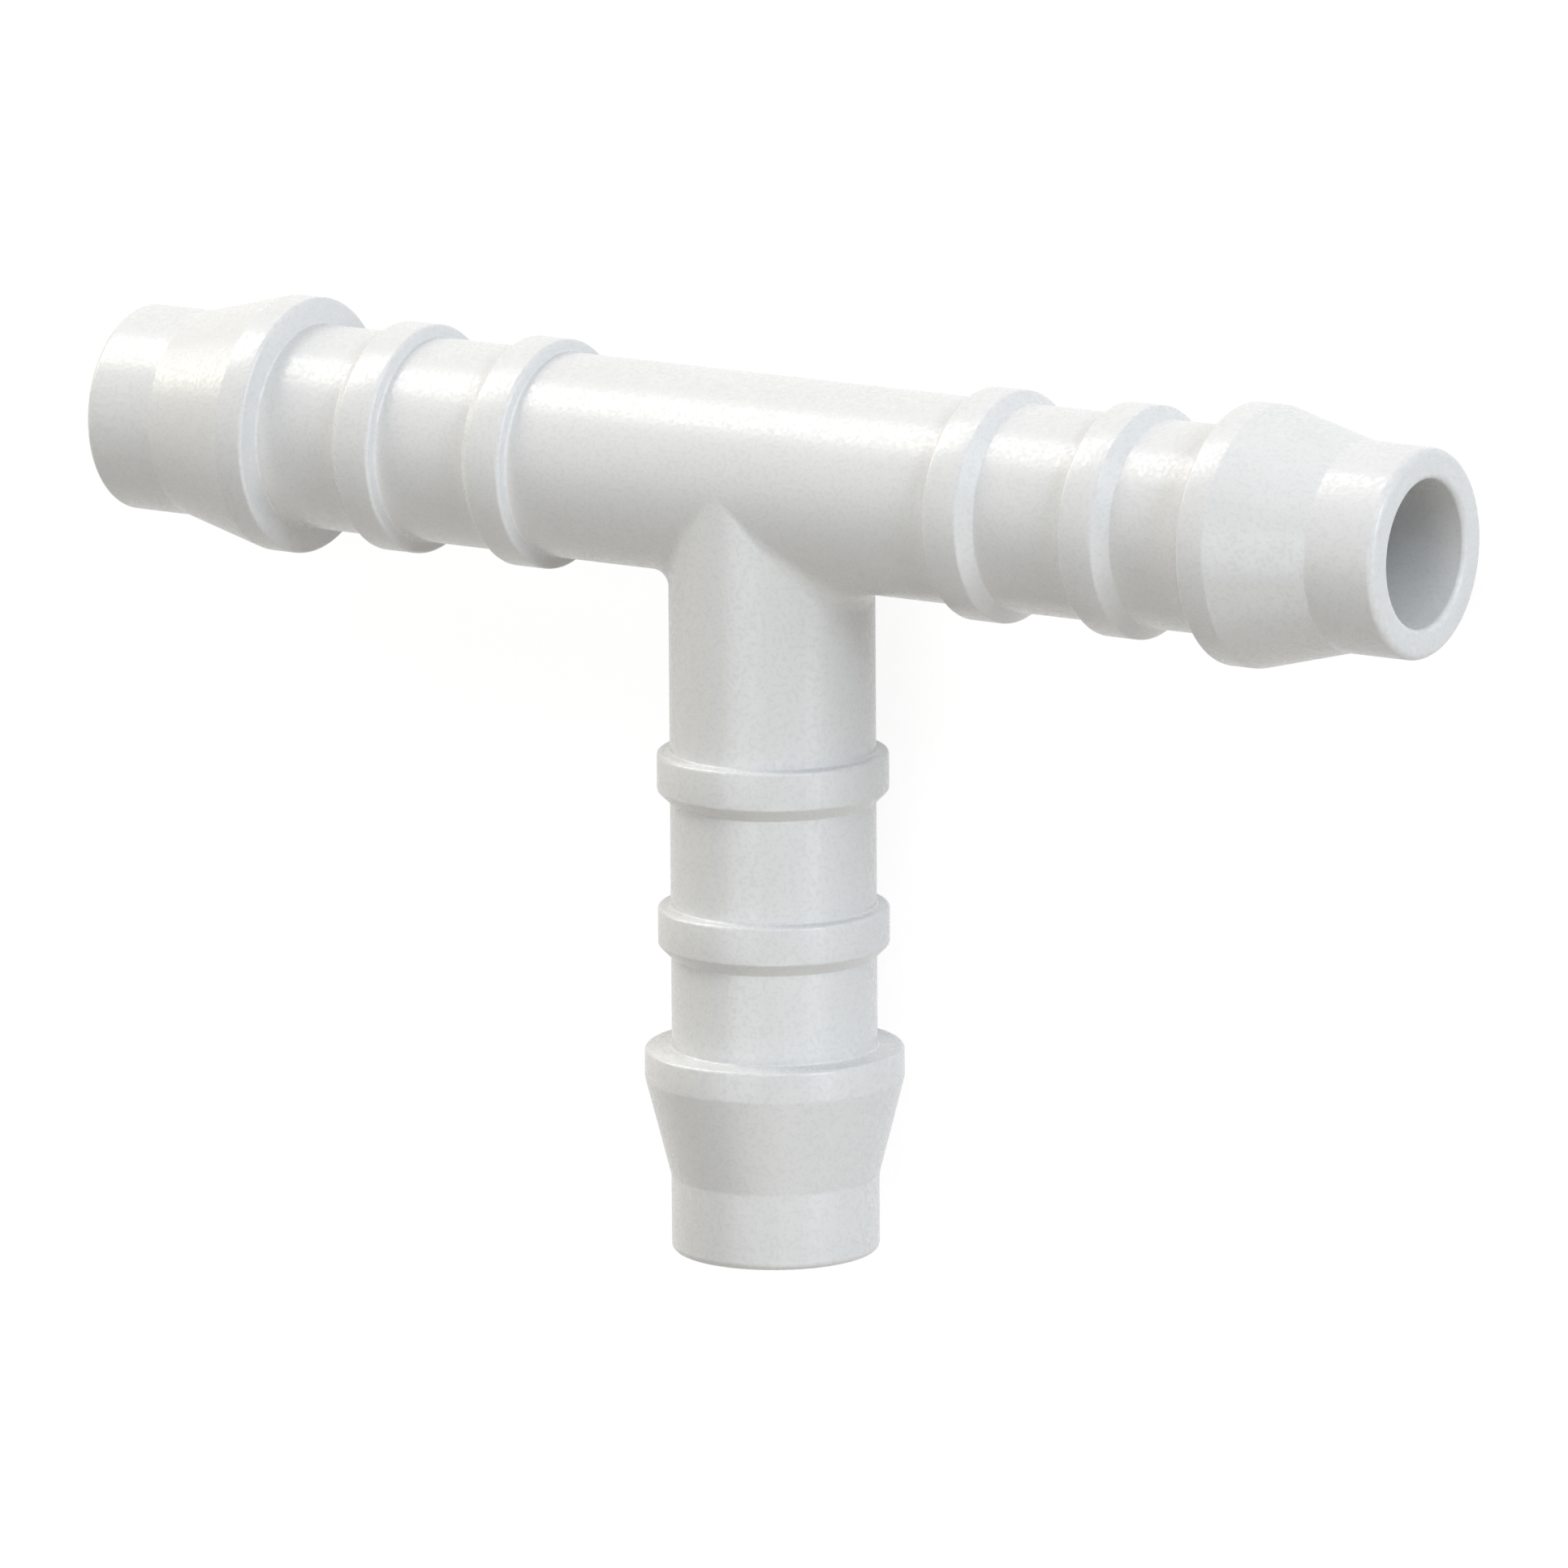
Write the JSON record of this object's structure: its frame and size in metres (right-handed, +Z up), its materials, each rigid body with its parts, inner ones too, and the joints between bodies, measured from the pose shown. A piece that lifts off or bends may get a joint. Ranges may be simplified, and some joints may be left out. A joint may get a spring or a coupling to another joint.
{
  "type": "hose barb tee",
  "caption": "Equal tee for hose: a straight run with a branch at its middle, each end with a conical barb behind a short nose and low rings, bored through.",
  "frame": {"origin": "where the axis of the run and the axis of the branch cross, half the barb's diameter above the surface it lies on", "axes": "+X along the run, -Y along the branch to its open end, +Z up; it lies flat on its three barbs"},
  "size_m": [0.059, 0.0355, 0.01],
  "materials": {
    "white_plastic": "white acetal as moulded, satin with a fine grain"
  },
  "bodies": {
    "root": {"tee_body": "white_plastic"}
  },
  "joints": []
}
